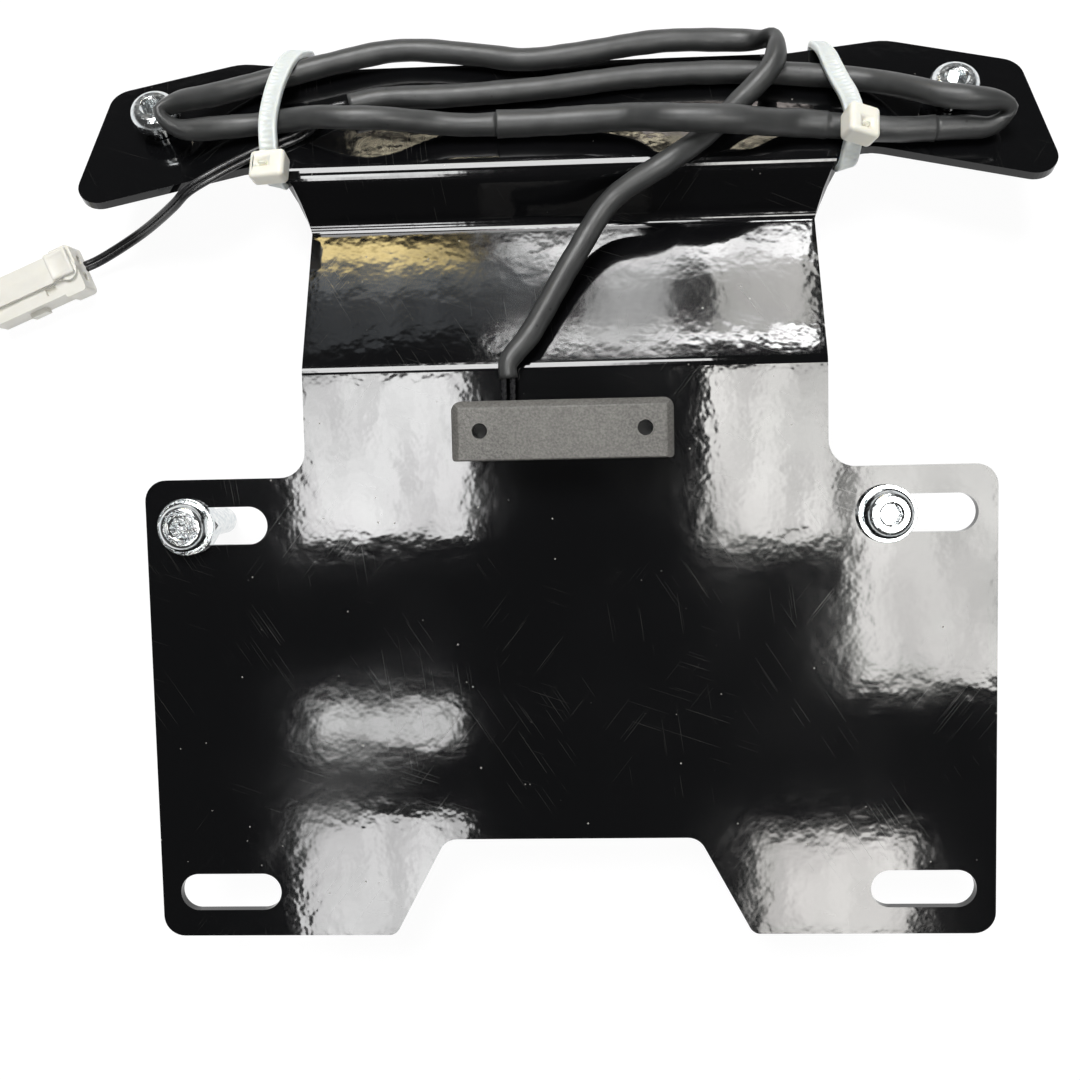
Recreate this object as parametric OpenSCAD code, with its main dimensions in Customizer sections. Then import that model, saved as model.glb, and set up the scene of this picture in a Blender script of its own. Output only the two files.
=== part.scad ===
// Motorbike number plate holder with a light bar, lying face up with its cable tied on.
// X runs along the plate, Y from the plate up to the tail wing, Z up from the surface it lies on.

/* [Plate] */
// Width of the flat plate
plate_w = 178; // [150:1:220]
// Height of the flat plate, up to its shoulders
plate_h = 99; // [80:1:130]
// Thickness of the steel sheet
sheet_t = 2; // [1.5:0.1:3]
// Rounding of the plate's corners
corner_r = 4.5; // [1:0.5:10]
// Width of the notch in the lower edge, at its top
notch_top_w = 54; // [30:1:80]
// Width of the notch at the edge itself
notch_low_w = 76.6; // [60:0.2:100]
// Depth of the notch
notch_depth = 21; // [10:1:30]

/* [Slots] */
// Overall length of a plate slot
slot_l = 22; // [12:1:28]
// Width of a plate slot
slot_w = 8; // [6:0.5:9]
// Distance between the slots, across
slot_pitch_x = 148; // [120:1:152]
// Distance between the slots, up the plate
slot_pitch_y = 79.4; // [60:0.2:80]
// Height of the lower slots above the plate's lower edge
slot_low_y = 9.7; // [8:0.1:14]

/* [Neck] */
// Width of the neck
neck_w = 109; // [90:1:120]
// Distance from the plate's lower edge to the first bend
first_bend_y = 121.3; // [118:0.1:130]
// Length of the neck's falling leg, corner to corner
fall_leg = 35; // [30:0.5:45]
// Length of the neck's rising leg, corner to corner
rise_leg = 12.8; // [11:0.1:16]
// Slope of the falling leg
fall_angle = 24.7; // [15:0.1:30]
// Slope of the rising leg
rise_angle = 40.6; // [30:0.1:50]
// Slope of the tail wing
wing_angle = 29; // [20:0.5:35]
// Inside radius of every bend
bend_r = 2.5; // [1.5:0.1:3]

/* [Tail wing] */
// Span of the wing, tip to tip
wing_span = 207.4; // [180:0.2:240]
// Reach of the wing at its middle, from the last bend's corner
wing_reach = 29.8; // [26:0.1:36]
// Width of each arm at its end
arm_w = 33; // [28:0.5:36]
// How far the arms sweep back towards the plate
sweep_angle = 15.4; // [5:0.1:20]
// Distance between the two tail screws
tail_pitch = 169; // [150:1:176]
// How far the pair of tail screws sits to the left of the middle
tail_shift = 2; // [0:0.5:4]
// Height of the tail screws on the wing, from the last bend's corner
tail_v = 14.3; // [12:0.1:17]

/* [Screws] */
// Thread diameter of the plate and tail screws
screw_d = 6; // [5:1:6]
// Diameter of a button head
head_d = 10.5; // [9.5:0.1:11]
// Height of a button head
head_h = 3.3; // [2.5:0.1:4]
// Length of the plate screws
plate_screw_l = 27; // [16:1:27]
// Length of the tail screws
tail_screw_l = 12; // [12:1:13]
// How far a tail screw's head stands off the wing
tail_gap = 3.7; // [2:0.1:4]
// Across the flats of a nut
nut_af = 10; // [8:0.5:11]
// Thickness of a nut
nut_h = 5; // [4:0.1:6]
// Diameter of a washer
washer_d = 12; // [11:0.5:12.5]
// Thickness of a washer
washer_t = 1.6; // [1:0.1:2]

/* [Light bar] */
// Length of the light bar
bar_w = 44.5; // [40:0.5:50]
// Depth of the light bar
bar_d = 12; // [11.5:0.1:14]
// Height of the light bar
bar_h = 11; // [11:0.5:14]
// Place of the bar's lower face, above the plate's lower edge
bar_y = 101.7; // [100:0.1:104]
// Distance between the two screws that hold the bar
bar_pitch = 33; // [32:0.5:36]

/* [Cable] */
// Diameter of the soft sleeve
sleeve_d = 4.8; // [4.4:0.1:5.2]
// Diameter of the shrunk sleeve over the splice
splice_d = 5.5; // [5:0.1:6]
// Diameter of each thin wire
wire_d = 1.2; // [1:0.1:1.5]
// Width of a cable tie's strap
tie_w = 3.6; // [2.5:0.1:4.8]
// Thickness of a cable tie's strap
tie_t = 1.2; // [1:0.1:1.4]

/* [Hidden] */

$fn = 64;

// Places the part: the plate's front face lies deck_z above the surface, and the middle of
// the whole outline lies over the origin.
deck_z = 25.8;
middle_y = 97.3;

// Clearance between a thread and what it turns in
fit = 0.05;
// Overlap that lets a cut run clear through a face
eps = 1;

// Sheet bends: tangent length of a bend, measured on the front face
function tangent(r, a) = r * tan(a / 2);
outer_r = bend_r + sheet_t;
angle_1 = fall_angle;
angle_2 = fall_angle + rise_angle;
angle_3 = rise_angle + wing_angle;
deck_end = first_bend_y - tangent(outer_r, angle_1);
fall_flat = fall_leg - tangent(outer_r, angle_1) - tangent(bend_r, angle_2);
rise_flat = rise_leg - tangent(bend_r, angle_2) - tangent(outer_r, angle_3);
wing_start = tangent(outer_r, angle_3);

// The last bend's corner on the front face, seen from the side
corner_y = first_bend_y + fall_leg * cos(fall_angle) + rise_leg * cos(rise_angle);
corner_z = -fall_leg * sin(fall_angle) + rise_leg * sin(rise_angle);

// Arms of the wing, in the wing's own plane, and the wide fillet that joins them to the neck
arm_fillet = 10.5;
arm_root_u = neck_w / 2;
arm_root_v = 6;
tip_low_u = wing_span / 2;
tip_low_v = arm_root_v - (tip_low_u - arm_root_u) * tan(sweep_angle);
tip_top_u = tip_low_u - arm_w * sin(8.5);
tip_top_v = tip_low_v + arm_w * cos(8.5);
crest_u = 71;
crest_v = tip_top_v + (tip_top_u - crest_u) * tan(sweep_angle);
bend_end_u = arm_root_u + (arm_root_v - wing_start) / tan(sweep_angle);

// Stack of a plate screw, which stands at one end of its slot
slot_x = slot_pitch_x / 2;
slot_top_y = slot_low_y + slot_pitch_y;
plate_screw_x = [-80.1, 66.2];
tail_screw_x = [-tail_pitch / 2 - tail_shift, tail_pitch / 2 - tail_shift];

// Light bar
bar_mid_y = bar_y + bar_d / 2;
bar_screw_r = 1.5;
cavity_w = 27;
cavity_d = 7.5;
cavity_h = 7.4;
cavity_z = 1.8;
lens_t = 1.6;
board_t = 1;
led_pitch = 8;

// Sleeves: route points of the cable in the plate's own frame
inner_route = [
    [-11, 118.5, 3.2], [-11, 121.5, 3.2], [-6.5, 127.5, 1.2], [3, 144, -4.2],
    [11, 155.5, -5], [22.5, 162.5, -3.4], [29.5, 167.5, -5.8], [38, 175.5, -8.5],
    [45, 183, -8.8], [46, 186.5, -10.6], [45.9, 190, -14.5], [42, 191.2, -18.4],
    [22.5, 191.8, -18.6], [1.5, 189, -17.2], [-8, 188.5, -17.2], [-18, 190.3, -18.4],
    [-35, 192, -19], [-50, 189.2, -17.6], [-63.5, 185.5, -15.6], [-74, 181.6, -11.2],
    [-81, 178, -4.6], [-83.2, 175.9, -3.4], [-82, 174, -3.6], [-79.5, 172.8, -4.6],
    [-71, 174, -8.6], [-62.5, 174.7, -9.5], [-51, 174.5, -5.2], [-45, 173.8, -3.8],
    [-37, 173.5, -4.2], [-25, 173, -8], [-19, 172.6, -8.4], [-13, 172.6, -8.4]
];
splice_route = [
    [-13, 172.6, -8.4], [-5, 172.6, -8.4], [15, 172.4, -5.8], [22, 171, -1.8],
    [29, 170.3, -0.6], [36.5, 170, -1.2], [43, 170, -4], [50, 170.2, -6.6],
    [69.5, 168, -5.8], [77.5, 168, -5.8]
];
outer_route = [
    [77.5, 168, -5.8], [84, 168, -5.8], [88.5, 168, -6], [91.5, 169.6, -5.6],
    [92, 171.2, -4.4], [90, 172.2, -3.2], [83, 172.8, -1.6], [78, 174, -3.2],
    [74, 176, -5.8], [66, 179.8, -12], [56, 181.8, -13.9], [39, 183.5, -15],
    [18, 183.4, -15], [-3, 181.3, -13.8], [-23.5, 180.1, -13], [-38, 180, -13],
    [-45, 178.6, -12.2]
];
// Thin wires: the pair leaves the sleeve, crosses the arm and drops to the connector
wire_gap = [-0.28, 0.57, 0];
wire_route = [
    [-45.3, 178.5, -12.2], [-48.5, 177.9, -12], [-55.5, 172.3, -10.4], [-65, 168, -8],
    [-75, 162.2, -4.9], [-79, 160, -5.2], [-83, 157.8, -8.2], [-95, 153.8, -19],
    [-106, 149, -22.6], [-109, 147.8, -22.6]
];
// The light's own wires, from the bar's back to the start of the sleeve
light_wire_x = [-11.9, -10.1];
light_wire_route = [[0, 113.7, 3.6], [0, 118.5, 3.6]];

// Connector, which lies on the surface at the wires' end
connector_at = [-109, 147.8, -22.6];
connector_turn = 202;
connector_l = 24;
connector_w = 9.5;
connector_h = 6.4;
collar_w = 11;
collar_l = 5;
pin_gap = 4.2;
pin_bore = 2.2;

// Outline of a fillet at corner p between its neighbours a and b
function unit(v) = v / norm(v);
function fillet(a, p, b, r) =
    let (ua = unit(a - p), ub = unit(b - p), half = acos(ua * ub) / 2)
    let (d = r / tan(half), c = p + unit(ua + ub) * r / sin(half))
    let (pa = p + ua * d - c, pb = p + ub * d - c)
    let (a0 = atan2(pa[1], pa[0]), turn = (atan2(pb[1], pb[0]) - a0 + 540) % 360 - 180)
    let (steps = max(2, ceil(abs(turn) / 11)))
    [for (i = [0 : steps]) c + r * [cos(a0 + turn * i / steps), sin(a0 + turn * i / steps)]];

// Polygon whose corners, given as [x, y, radius], are rounded
module rounded(corners) {
    n = len(corners);
    xy = [for (c = corners) [c[0], c[1]]];
    polygon([
        for (i = [0 : n - 1])
            each corners[i][2] > 0
                ? fillet(xy[(i + n - 1) % n], xy[i], xy[(i + 1) % n], corners[i][2])
                : [xy[i]]
    ]);
}

// Whole outline from its right half, listed from bottom to top
function mirrored(half) = concat(
    half,
    [for (i = [len(half) - 1 : -1 : 0]) [-half[i][0], half[i][1], half[i][2]]]
);

// Moves the plate's own frame to where the part lies
module in_place() {
    translate([0, -middle_y, deck_z]) children();
}

// Moves to the wing's plane: X across, Y up the wing, Z out of its front face
module on_wing() {
    translate([0, corner_y, corner_z]) rotate([-wing_angle, 0, 0]) children();
}

// Moves from the wing's plane back to the plate's own frame
module on_plate() {
    rotate([wing_angle, 0, 0]) translate([0, -corner_y, -corner_z]) children();
}

// Front line of the bent sheet seen from the side, walked from the wing down to the plate.
// Each step goes straight, then turns about a centre on the left or on the right, and gives
// points with their headings.
function heading(a) = [cos(a), sin(a)];
function to_left(a) = [-sin(a), cos(a)];
function walk(p, a, steps, i = 0) =
    i == len(steps) ? [] :
    let (turn = steps[i][1], r = sign(turn) * steps[i][2])
    let (c = p + steps[i][0] * heading(a) + r * to_left(a), n = ceil(abs(turn) / 7))
    let (points = [for (k = [0 : n]) [c - r * to_left(a + turn * k / max(n, 1)), a + turn * k / max(n, 1)]])
    concat(points, walk(points[n][0], a + turn, steps, i + 1));

module sheet_profile() {
    top = 12;
    front = concat([[[top, 0], 180]], walk([top, 0], 180, [
        [top - wing_start, angle_3, outer_r],
        [rise_flat, -angle_2, bend_r],
        [fall_flat, angle_1, outer_r],
        [deck_end + eps, 0, 0]
    ]));
    back = [for (i = [len(front) - 1 : -1 : 0]) front[i][0] + sheet_t * to_left(front[i][1])];
    polygon(concat([for (s = front) s[0]], back));
}

// Round-ended slot cut through the plate
module slot_cut(x, y) {
    translate([x, y, -sheet_t - eps]) {
        for (side = [-1, 1])
            translate([side * (slot_l - slot_w) / 2, 0, 0])
                cylinder(d = slot_w, h = sheet_t + 2 * eps);
        translate([-(slot_l - slot_w) / 2, -slot_w / 2, 0])
            cube([slot_l - slot_w, slot_w, sheet_t + 2 * eps]);
    }
}

// Outline of the plate and the neck, seen from above; the neck runs on into the wing
module plate_outline() {
    rounded(mirrored([
        [notch_top_w / 2, notch_depth, 4],
        [notch_low_w / 2, 0, 2.5],
        [plate_w / 2, 0, corner_r],
        [plate_w / 2, plate_h, corner_r],
        [neck_w / 2, plate_h, 5.5],
        [neck_w / 2, corner_y + 20, 0]
    ]));
}

// Outline of the wing and of the neck's flare below it, seen square to the wing. The root is a
// hair narrower than the neck, which it grows out of.
module wing_outline() {
    rounded(mirrored([
        [arm_root_u - 0.2, -9, 0],
        [arm_root_u - 0.2, arm_root_v, arm_fillet],
        [tip_low_u, tip_low_v, 5],
        [tip_top_u, tip_top_v, 5],
        [crest_u, crest_v, 12],
        [50, wing_reach, 14]
    ]));
}

// Bent sheet of a given width, not yet cut to its outline
module bent_sheet(width) {
    rotate([90, 0, 90]) linear_extrude(width, center = true) sheet_profile();
}

module bracket() {
    color("#101113") in_place() on_wing() difference() {
        union() {
            intersection() {
                bent_sheet(plate_w + 2 * eps);
                on_plate() translate([0, 0, -40]) linear_extrude(60) plate_outline();
            }
            intersection() {
                bent_sheet(2 * bend_end_u);
                translate([0, 0, -20]) linear_extrude(30) wing_outline();
            }
            translate([0, 0, -sheet_t]) linear_extrude(sheet_t) difference() {
                wing_outline();
                translate([-bend_end_u + 0.5, -10])
                    square([2 * bend_end_u - 1, 10 + wing_start + eps]);
            }
        }
        on_plate() {
            for (x = [-slot_x, slot_x], y = [slot_low_y, slot_top_y]) slot_cut(x, y);
            for (side = [-1, 1])
                translate([side * bar_pitch / 2, bar_mid_y, -sheet_t - eps])
                    cylinder(r = bar_screw_r + 0.2, h = sheet_t + 2 * eps);
        }
        for (x = tail_screw_x)
            translate([x, tail_v, -sheet_t - eps])
                cylinder(d = screw_d + 0.6, h = sheet_t + 2 * eps);
    }
}

// Button head screw, its seat at Z zero and its shank pointing down
module button_screw(length) {
    chamfer = 0.6;
    dish_r = 3.6;
    difference() {
        union() {
            rotate_extrude() polygon([
                [0, 0], [head_d / 2, 0], [head_d / 2, 0.35],
                for (a = [8 : 12 : 80]) [
                    dish_r + (head_d / 2 - dish_r) * cos(a),
                    0.35 + (head_h - 0.35) * sin(a)
                ],
                [dish_r, head_h], [0, head_h]
            ]);
            translate([0, 0, -length + chamfer])
                cylinder(d = screw_d, h = length - chamfer + 0.01);
            translate([0, 0, -length]) cylinder(
                d1 = screw_d - 2 * chamfer, d2 = screw_d, h = chamfer
            );
        }
        translate([0, 0, head_h - 2.1]) cylinder(d = 4 / cos(30), h = 3, $fn = 6);
        translate([0, 0, head_h - 0.35]) cylinder(d1 = 4.2, d2 = 5.2, h = 0.36);
    }
}

// Hexagon nut with chamfered corners, standing on Z zero
module hex_nut() {
    difference() {
        intersection() {
            cylinder(d = nut_af / cos(30), h = nut_h, $fn = 6);
            rotate_extrude() polygon([
                [0, 0], [nut_af / 2, 0], [nut_af / 2 + 0.8, 0.5],
                [nut_af / 2 + 0.8, nut_h - 0.5], [nut_af / 2, nut_h], [0, nut_h]
            ]);
        }
        translate([0, 0, -eps]) cylinder(d = screw_d + 2 * fit, h = nut_h + 2 * eps);
    }
}

module plate_screw(x) {
    color("#c8ccd0") in_place() translate([x, slot_top_y, washer_t]) button_screw(plate_screw_l);
}

module plate_washer(x) {
    color("#b9bdc1") in_place() translate([x, slot_top_y, 0]) difference() {
        cylinder(d = washer_d, h = washer_t);
        translate([0, 0, -eps]) cylinder(d = screw_d + 0.4, h = washer_t + 2 * eps);
    }
}

module plate_nut(x) {
    color("#b9bdc1") in_place() translate([x, slot_top_y, -sheet_t - nut_h]) hex_nut();
}

module tail_screw(x) {
    color("#c8ccd0") in_place() on_wing()
        translate([x, tail_v, tail_gap]) button_screw(tail_screw_l);
}

module tail_nut(x) {
    color("#2a2c2e") in_place() on_wing()
        translate([x, tail_v, -sheet_t - nut_h]) hex_nut();
}

// Block whose upper edge is chamfered on three sides and straight on the lens side
module bar_block() {
    bevel = 1.4;
    base_h = bar_h - bevel;
    rounded_base = [
        [-bar_w / 2, 0, 0.8], [bar_w / 2, 0, 0.8], [bar_w / 2, bar_d, 2.2], [-bar_w / 2, bar_d, 2.2]
    ];
    intersection() {
        linear_extrude(bar_h) rounded(rounded_base);
        translate([0, bar_d, 0]) rotate([90, 0, 0]) linear_extrude(bar_d) rounded([
            [-bar_w / 2, 0, 0], [bar_w / 2, 0, 0], [bar_w / 2, base_h, 0.8],
            [bar_w / 2 - bevel, bar_h, 0.8], [-bar_w / 2 + bevel, bar_h, 0.8],
            [-bar_w / 2, base_h, 0.8]
        ]);
        translate([-bar_w / 2, 0, 0]) rotate([90, 0, 90]) linear_extrude(bar_w) rounded([
            [0, 0, 0], [bar_d, 0, 0], [bar_d, base_h, 0.8],
            [bar_d - bevel, bar_h, 0.8], [0, bar_h, 0.4]
        ]);
    }
}

module light_housing() {
    color("#2c2c2b") in_place() translate([0, bar_y, 0]) difference() {
        bar_block();
        translate([-cavity_w / 2, lens_t, cavity_z]) cube([cavity_w, cavity_d, cavity_h]);
        translate([-cavity_w / 2 - 1, -eps, cavity_z - 0.8])
            cube([cavity_w + 2, lens_t + eps, cavity_h + 1.6]);
        for (side = [-1, 1]) translate([side * bar_pitch / 2, bar_d / 2, -eps])
            cylinder(r = bar_screw_r + fit, h = bar_h + 2 * eps);
        for (x = light_wire_x) translate([x, bar_d + eps, 3.6]) rotate([90, 0, 0])
            cylinder(d = wire_d + 2 * fit, h = bar_d - cavity_d - lens_t + 2 * eps);
    }
}

module light_lens() {
    color("#dfe6ea") in_place()
        translate([-cavity_w / 2 - 1 + fit, bar_y, cavity_z - 0.8 + fit])
            cube([cavity_w + 2 - 2 * fit, lens_t, cavity_h + 1.6 - 2 * fit]);
}

module led_board() {
    color("#2f6b46") in_place()
        translate([-cavity_w / 2 + 0.5, bar_y + lens_t + cavity_d - 1.2 - board_t, cavity_z + 0.7])
            cube([cavity_w - 1, board_t, 6]);
}

module led(x) {
    color("#f3efd2") in_place()
        translate([x - 1.75, bar_y + lens_t + cavity_d - 2.2 - board_t, cavity_z + 2.3]) union() {
            cube([3.5, 1, 2.8]);
            translate([1.75, 0, 1.4]) rotate([90, 0, 0]) cylinder(d = 2.2, h = 0.25);
        }
}

// Pan head screw that comes through from behind and ends inside the bar
module light_screw(x) {
    color("#8d9094") in_place() translate([x, bar_mid_y, -sheet_t]) difference() {
        union() {
            cylinder(r = bar_screw_r, h = sheet_t + 7);
            translate([0, 0, -1.2]) cylinder(d = 5.6, h = 1.2);
            translate([0, 0, -2]) cylinder(d1 = 4.2, d2 = 5.6, h = 0.8);
        }
        for (turn = [0, 90]) rotate([0, 0, turn])
            translate([-1.5, -0.35, -2 - eps]) cube([3, 0.7, 1.1 + eps]);
    }
}

// Plain tube swept along route points, one ring at each point
function bisector(p, i) = unit(
    i == 0 ? p[1] - p[0] :
    i == len(p) - 1 ? p[i] - p[i - 1] :
    unit(p[i + 1] - p[i]) + unit(p[i] - p[i - 1])
);
function ring(c, t, r, sides) =
    let (side = unit(cross(t, [0, 0, 1])), rise = cross(side, t))
    [for (k = [0 : sides - 1]) c + r * (side * cos(360 * k / sides) + rise * sin(360 * k / sides))];

module tube(route, r, sides) {
    n = len(route);
    points = [for (i = [0 : n - 1]) each ring(route[i], bisector(route, i), r, sides)];
    walls = [
        for (i = [0 : n - 2], k = [0 : sides - 1])
            let (a = i * sides + k, b = i * sides + (k + 1) % sides)
            each [[a, b, a + sides], [b, b + sides, a + sides]]
    ];
    start = [for (k = [sides - 1 : -1 : 0]) k];
    end = [for (k = [0 : sides - 1]) (n - 1) * sides + k];
    polyhedron(points, concat(walls, [start, end]));
}

module cable_sleeve_inner() {
    color("#4b4c4b") in_place() tube(inner_route, sleeve_d / 2, 8);
}

module splice_sleeve() {
    color("#525351") in_place() tube(splice_route, splice_d / 2, 8);
}

module cable_sleeve_outer() {
    color("#4b4c4b") in_place() tube(outer_route, sleeve_d / 2, 8);
}

module light_wire(x) {
    color("#1c1c1d") in_place() tube([for (p = light_wire_route) p + [x, 0, 0]], wire_d / 2, 8);
}

module lead_wire(side) {
    color("#161617") in_place() tube([for (p = wire_route) p + side * wire_gap], wire_d / 2, 8);
}

// Moves to the connector: its wire end at the origin and its length along X
module at_connector() {
    translate(connector_at) rotate([0, 0, connector_turn]) children();
}

module connector_housing() {
    floor_z = -connector_h / 2;
    color("#e9e6da") in_place() at_connector() difference() {
        union() {
            translate([collar_l - 1, -connector_w / 2, floor_z])
                cube([connector_l - collar_l + 1, connector_w, connector_h]);
            translate([0.8, -collar_w / 2, floor_z]) linear_extrude(connector_h) rounded([
                [0, 0, 1], [collar_l, 0, 0.6], [collar_l, collar_w, 0.6], [0, collar_w, 1]
            ]);
            translate([collar_l, -1.5, connector_h / 2]) cube([connector_l - collar_l - 3, 3, 0.9]);
            translate([0.8 + 2.2, 0, connector_h / 2]) cylinder(d = 4.6, h = 0.9);
            translate([12, connector_w / 2, -1.4]) cube([4, 1.2, 2.4]);
        }
        for (side = [-1, 1]) translate([0, side * pin_gap / 2, 0]) rotate([0, 90, 0])
            cylinder(d = pin_bore, h = connector_l + eps);
        translate([collar_l + 2.2, 1.9, connector_h / 2 - 1]) cube([2.6, 1.6, 2]);
    }
}

// Crimped socket inside the connector
module terminal(side) {
    color("#b98f4e") in_place() at_connector()
        translate([3, side * pin_gap / 2, 0]) rotate([0, 90, 0]) difference() {
            cylinder(d = pin_bore - 2 * fit, h = connector_l - 5);
            translate([0, 0, connector_l - 11]) cylinder(d = 1.2, h = 8);
        }
}

// Strap of a tie: a closed band given by its inner corners, thickened outwards
module band(inner) {
    mid = [for (c = inner) [c[0], c[1], c[2]]];
    function grown(i) =
        let (n = len(mid), p = [mid[i][0], mid[i][1]])
        let (a = [mid[(i + n - 1) % n][0], mid[(i + n - 1) % n][1]])
        let (b = [mid[(i + 1) % n][0], mid[(i + 1) % n][1]])
        let (ua = unit(a - p), ub = unit(b - p), half = acos(ua * ub) / 2)
        concat(p - unit(ua + ub) * tie_t / sin(half), mid[i][2] + tie_t);
    difference() {
        rounded([for (i = [0 : len(mid) - 1]) grown(i)]);
        rounded(mid);
    }
}

// Head of a tie: a small box with the strap's slot and its pawl window
module tie_head() {
    difference() {
        linear_extrude(7, center = true) rounded([
            [-3, -2.4, 0.8], [3, -2.4, 0.8], [3, 2.4, 1.4], [-3, 2.4, 1.4]
        ]);
        translate([0.3, 1, -1.9]) cube([2, 2, 3.8]);
    }
}

// The tie's plane stands across the wing, turned a little about the wing's normal
module tie_at(u, turn) {
    color("#e8ebe2") in_place() on_wing()
        translate([u, 18, 0]) rotate([0, 0, turn]) translate([0, -18, 0])
            rotate([90, 0, 90]) children();
}

module cable_tie_left() {
    tie_at(-59.5, -7) union() {
        linear_extrude(tie_w, center = true) band([
            [0.8, -2.8, 0.8], [34.4, -2.1, 1], [34.7, 1, 1.2], [30, 4.9, 2.4],
            [24, 5.9, 4], [12, 7, 4], [4.4, 5.2, 3], [0.8, 1.2, 1.2]
        ]);
        translate([-0.4, 3.4, 0]) tie_head();
    }
}

module cable_tie_right() {
    tie_at(58.5, 13) union() {
        linear_extrude(tie_w, center = true) band([
            [0.6, -2.8, 0.8], [33.6, -2.1, 1], [33.8, 0.3, 1.2], [27, 4.8, 3],
            [19, 5.7, 4], [9, 6.6, 4], [1.2, 6.4, 2]
        ]);
        translate([8.5, 9, 0]) tie_head();
    }
}

bracket();
light_housing();
light_lens();
led_board();
led(-led_pitch);  // led_left
led(0);  // led_middle
led(led_pitch);  // led_right
light_screw(-bar_pitch / 2);  // light_screw_left
light_screw(bar_pitch / 2);  // light_screw_right
plate_screw(plate_screw_x[0]);  // plate_screw_left
plate_screw(plate_screw_x[1]);  // plate_screw_right
plate_washer(plate_screw_x[0]);  // plate_washer_left
plate_washer(plate_screw_x[1]);  // plate_washer_right
plate_nut(plate_screw_x[0]);  // plate_nut_left
plate_nut(plate_screw_x[1]);  // plate_nut_right
tail_screw(tail_screw_x[0]);  // tail_screw_left
tail_screw(tail_screw_x[1]);  // tail_screw_right
tail_nut(tail_screw_x[0]);  // tail_nut_left
tail_nut(tail_screw_x[1]);  // tail_nut_right
light_wire(light_wire_x[0]);  // light_wire_left
light_wire(light_wire_x[1]);  // light_wire_right
cable_sleeve_inner();
splice_sleeve();
cable_sleeve_outer();
lead_wire(1);  // lead_wire_upper
lead_wire(-1);  // lead_wire_lower
connector_housing();
terminal(-1);  // terminal_upper
terminal(1);  // terminal_lower
cable_tie_left();
cable_tie_right();
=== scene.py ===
"""Looks of the number plate holder: materials, cable, ties, screws, light and camera."""

import math

import bmesh
import bpy
from mathutils import Matrix, Vector


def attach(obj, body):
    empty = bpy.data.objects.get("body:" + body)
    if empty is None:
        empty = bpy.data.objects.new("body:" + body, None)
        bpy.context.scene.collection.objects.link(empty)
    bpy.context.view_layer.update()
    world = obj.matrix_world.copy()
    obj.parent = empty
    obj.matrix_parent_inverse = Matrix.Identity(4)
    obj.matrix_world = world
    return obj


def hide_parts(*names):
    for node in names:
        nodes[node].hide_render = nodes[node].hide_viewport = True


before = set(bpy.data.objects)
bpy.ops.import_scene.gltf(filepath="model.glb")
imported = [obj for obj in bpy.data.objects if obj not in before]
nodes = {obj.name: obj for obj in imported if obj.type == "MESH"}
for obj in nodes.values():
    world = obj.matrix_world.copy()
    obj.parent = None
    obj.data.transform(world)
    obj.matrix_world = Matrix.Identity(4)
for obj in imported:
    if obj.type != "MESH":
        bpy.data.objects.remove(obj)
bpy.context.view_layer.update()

# Plate frame, in millimetres, as the part's source has it
MIDDLE_Y = 97.3
DECK_Z = 25.8
CORNER = (162.816, -6.295)
WING_ANGLE = 29.0
FALL_ANGLE = 24.7


def at(x, y, z):
    """A point of the plate's frame, in millimetres, as a point of the row frame in metres."""
    return Vector((x, y - MIDDLE_Y, z + DECK_Z)) / 1000


def on_wing(u, v, n):
    """A point given along, up and out of the wing, in millimetres, in the row frame."""
    tilt = math.radians(WING_ANGLE)
    y = CORNER[0] + v * math.cos(tilt) + n * math.sin(tilt)
    z = CORNER[1] - v * math.sin(tilt) + n * math.cos(tilt)
    return at(u, y, z)


# Camera: a phone's main lens held over the part, a little askew
IMAGE = 1080
FOCAL_PX = 1185.5
EYE = at(6.17, 102.94, 247.3)
LEAN = (4.17, -2.67, 1.06)

lean_x, lean_y, lean_z = (math.radians(a) for a in LEAN)
to_camera = (
    Matrix.Rotation(lean_z, 3, "Z") @ Matrix.Rotation(lean_y, 3, "Y") @ Matrix.Rotation(lean_x, 3, "X")
)
camera_data = bpy.data.cameras.new("camera")
camera_data.sensor_width = 36
camera_data.lens = FOCAL_PX / IMAGE * camera_data.sensor_width
camera_data.clip_start = 0.01
camera = bpy.data.objects.new("camera", camera_data)
bpy.context.scene.collection.objects.link(camera)
camera.matrix_world = Matrix.Translation(EYE) @ to_camera.transposed().to_4x4()
bpy.context.scene.camera = camera


# Materials
def set_span(node, low, high, to_low, to_high):
    """What a map range node reads and gives."""
    numbers = {"From Min": low, "From Max": high, "To Min": to_low, "To Max": to_high}
    for key, number in numbers.items():
        node.inputs[key].default_value = number


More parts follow.
